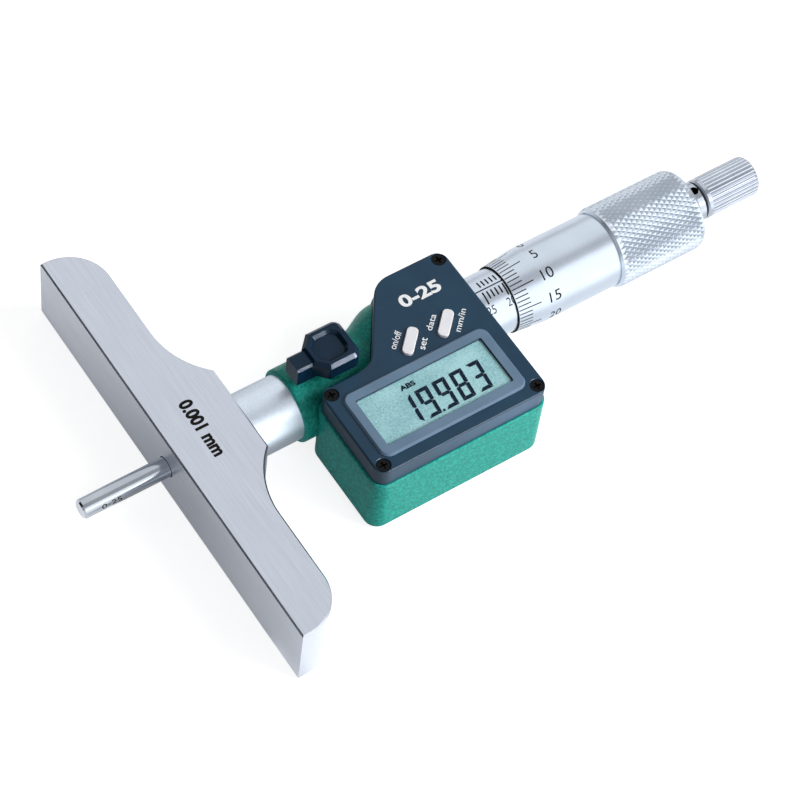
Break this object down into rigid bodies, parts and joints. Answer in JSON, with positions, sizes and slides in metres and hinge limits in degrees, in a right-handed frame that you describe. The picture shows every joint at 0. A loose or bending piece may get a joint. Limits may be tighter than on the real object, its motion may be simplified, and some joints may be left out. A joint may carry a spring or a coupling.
{
  "type": "digital depth micrometer",
  "caption": "Digital depth micrometer: flat steel base, cast housing with display, graduated thimble and ratchet knob on one axis.",
  "frame": {"origin": "centre of the base's measuring face, on the spindle axis", "axes": "+X along the spindle axis towards the ratchet, +Y across the base, +Z out of the display"},
  "size_m": [0.1688, 0.1016, 0.027],
  "materials": {
    "ground_steel": "fine ground steel",
    "satin_chrome": "satin chrome",
    "black_rubber": "matt",
    "green_enamel": "hammered enamel",
    "slate_plastic": "satin",
    "bezel_plastic": "satin",
    "clear_window": "clear",
    "lcd": "pale reflective liquid crystal",
    "board": "green board",
    "white_button": "smooth",
    "black_screw": "black",
    "cell_steel": "stainless",
    "brass": "plain",
    "bright_steel": "turned",
    "navy_plastic": "satin",
    "bright_chrome": "bright satin chrome"
  },
  "bodies": {
    "frame": {"base": "ground_steel", "front_sleeve": "satin_chrome", "rod_seal": "black_rubber", "housing": "green_enamel", "cover_gasket": "black_rubber", "front_cover": "slate_plastic", "display_bezel": "bezel_plastic", "display_window": "clear_window", "lcd_panel": "lcd", "lcd_connectors": "black_rubber", "circuit_board": "board", "button_pad": "black_rubber", "cover_screws": "black_screw", "battery_cap": "slate_plastic", "battery_seal": "black_rubber", "battery": "cell_steel", "battery_contact": "brass", "lock_shoe": "brass", "graduated_sleeve": "satin_chrome", "threaded_barrel": "bright_steel", "adjusting_nut": "bright_steel", "encoder_stator": "board", "stator_spacer": "white_button"},
    "rotor": {"encoder_rotor": "board", "drive_key": "bright_steel"},
    "spindle_group": {"spindle": "bright_steel", "measuring_rod": "ground_steel", "rod_nuts": "bright_steel", "thimble": "satin_chrome", "thimble_cap": "bright_chrome", "ratchet_wheel": "bright_steel", "shaft_clip": "bright_steel"},
    "ratchet": {"ratchet_knob": "bright_chrome", "ratchet_pawl": "bright_steel", "ratchet_spring": "bright_steel"},
    "lock": {"lock_lever": "navy_plastic", "lock_screw": "bright_steel"},
    "on_off": {"on_off_button": "white_button"},
    "unit": {"unit_button": "white_button"}
  },
  "joints": [
    {"name": "thimble_turn", "type": "hinge", "parent": "frame", "child": "rotor", "pos_m": [0.059, 0, 0], "axis": [1, 0, 0], "range_deg": [-3600.5, 14400.5]},
    {"name": "spindle_travel", "type": "slide", "parent": "rotor", "child": "spindle_group", "axis": [1, 0, 0], "range_m": [-0.005, 0.02]},
    {"name": "ratchet_slip", "type": "hinge", "parent": "spindle_group", "child": "ratchet", "pos_m": [0.142, 0, 0], "axis": [1, 0, 0], "continuous": true},
    {"name": "lock_turn", "type": "hinge", "parent": "frame", "child": "lock", "pos_m": [0.039, 0, 0.0102], "axis": [0, 0, -1], "range_deg": [0, 90]},
    {"name": "on_off_press", "type": "slide", "parent": "frame", "child": "on_off", "axis": [0, 0, -1], "range_m": [0, 0.0005], "stiffness_N_per_m": 600},
    {"name": "unit_press", "type": "slide", "parent": "frame", "child": "unit", "axis": [0, 0, -1], "range_m": [0, 0.0005], "stiffness_N_per_m": 600}
  ],
  "couplings": [
    {"joint": "thimble_turn", "follows": "spindle_travel", "rad_per_m": 12566}
  ]
}
